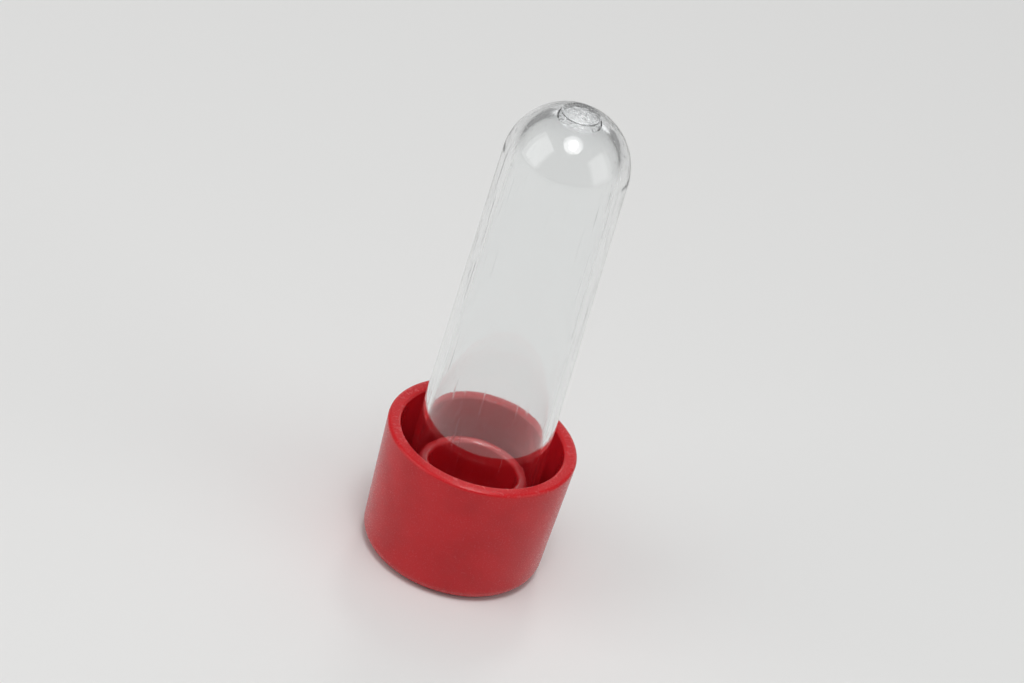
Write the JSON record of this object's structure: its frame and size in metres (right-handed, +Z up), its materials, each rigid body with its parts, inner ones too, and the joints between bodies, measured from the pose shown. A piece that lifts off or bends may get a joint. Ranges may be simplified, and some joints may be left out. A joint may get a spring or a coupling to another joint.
{
  "type": "blood collection tube",
  "caption": "Clear round-ended plastic tube standing upside down in its wide red push cap, whose flared skirt surrounds the mouth that its hollow plug closes.",
  "frame": {"origin": "centre of the cap's flat closed end, on which the part stands", "axes": "+Z up along the tube's axis, from the cap's closed end to the tube's round end; X and Y are any two directions across, because the part is round"},
  "size_m": [0.017, 0.017, 0.0462],
  "materials": {
    "clear_polystyrene": "clear and glossy, moulded against a polished tool",
    "red_polyethylene": "soft sheen, moulded, slightly see-through at thin edges"
  },
  "bodies": {
    "cap": {"cap": "red_polyethylene"},
    "tube": {"tube": "clear_polystyrene"}
  },
  "joints": [
    {"name": "tube_pull", "type": "slide", "parent": "cap", "child": "tube", "axis": [0, 0, 1], "range_m": [0, 0.02]}
  ]
}
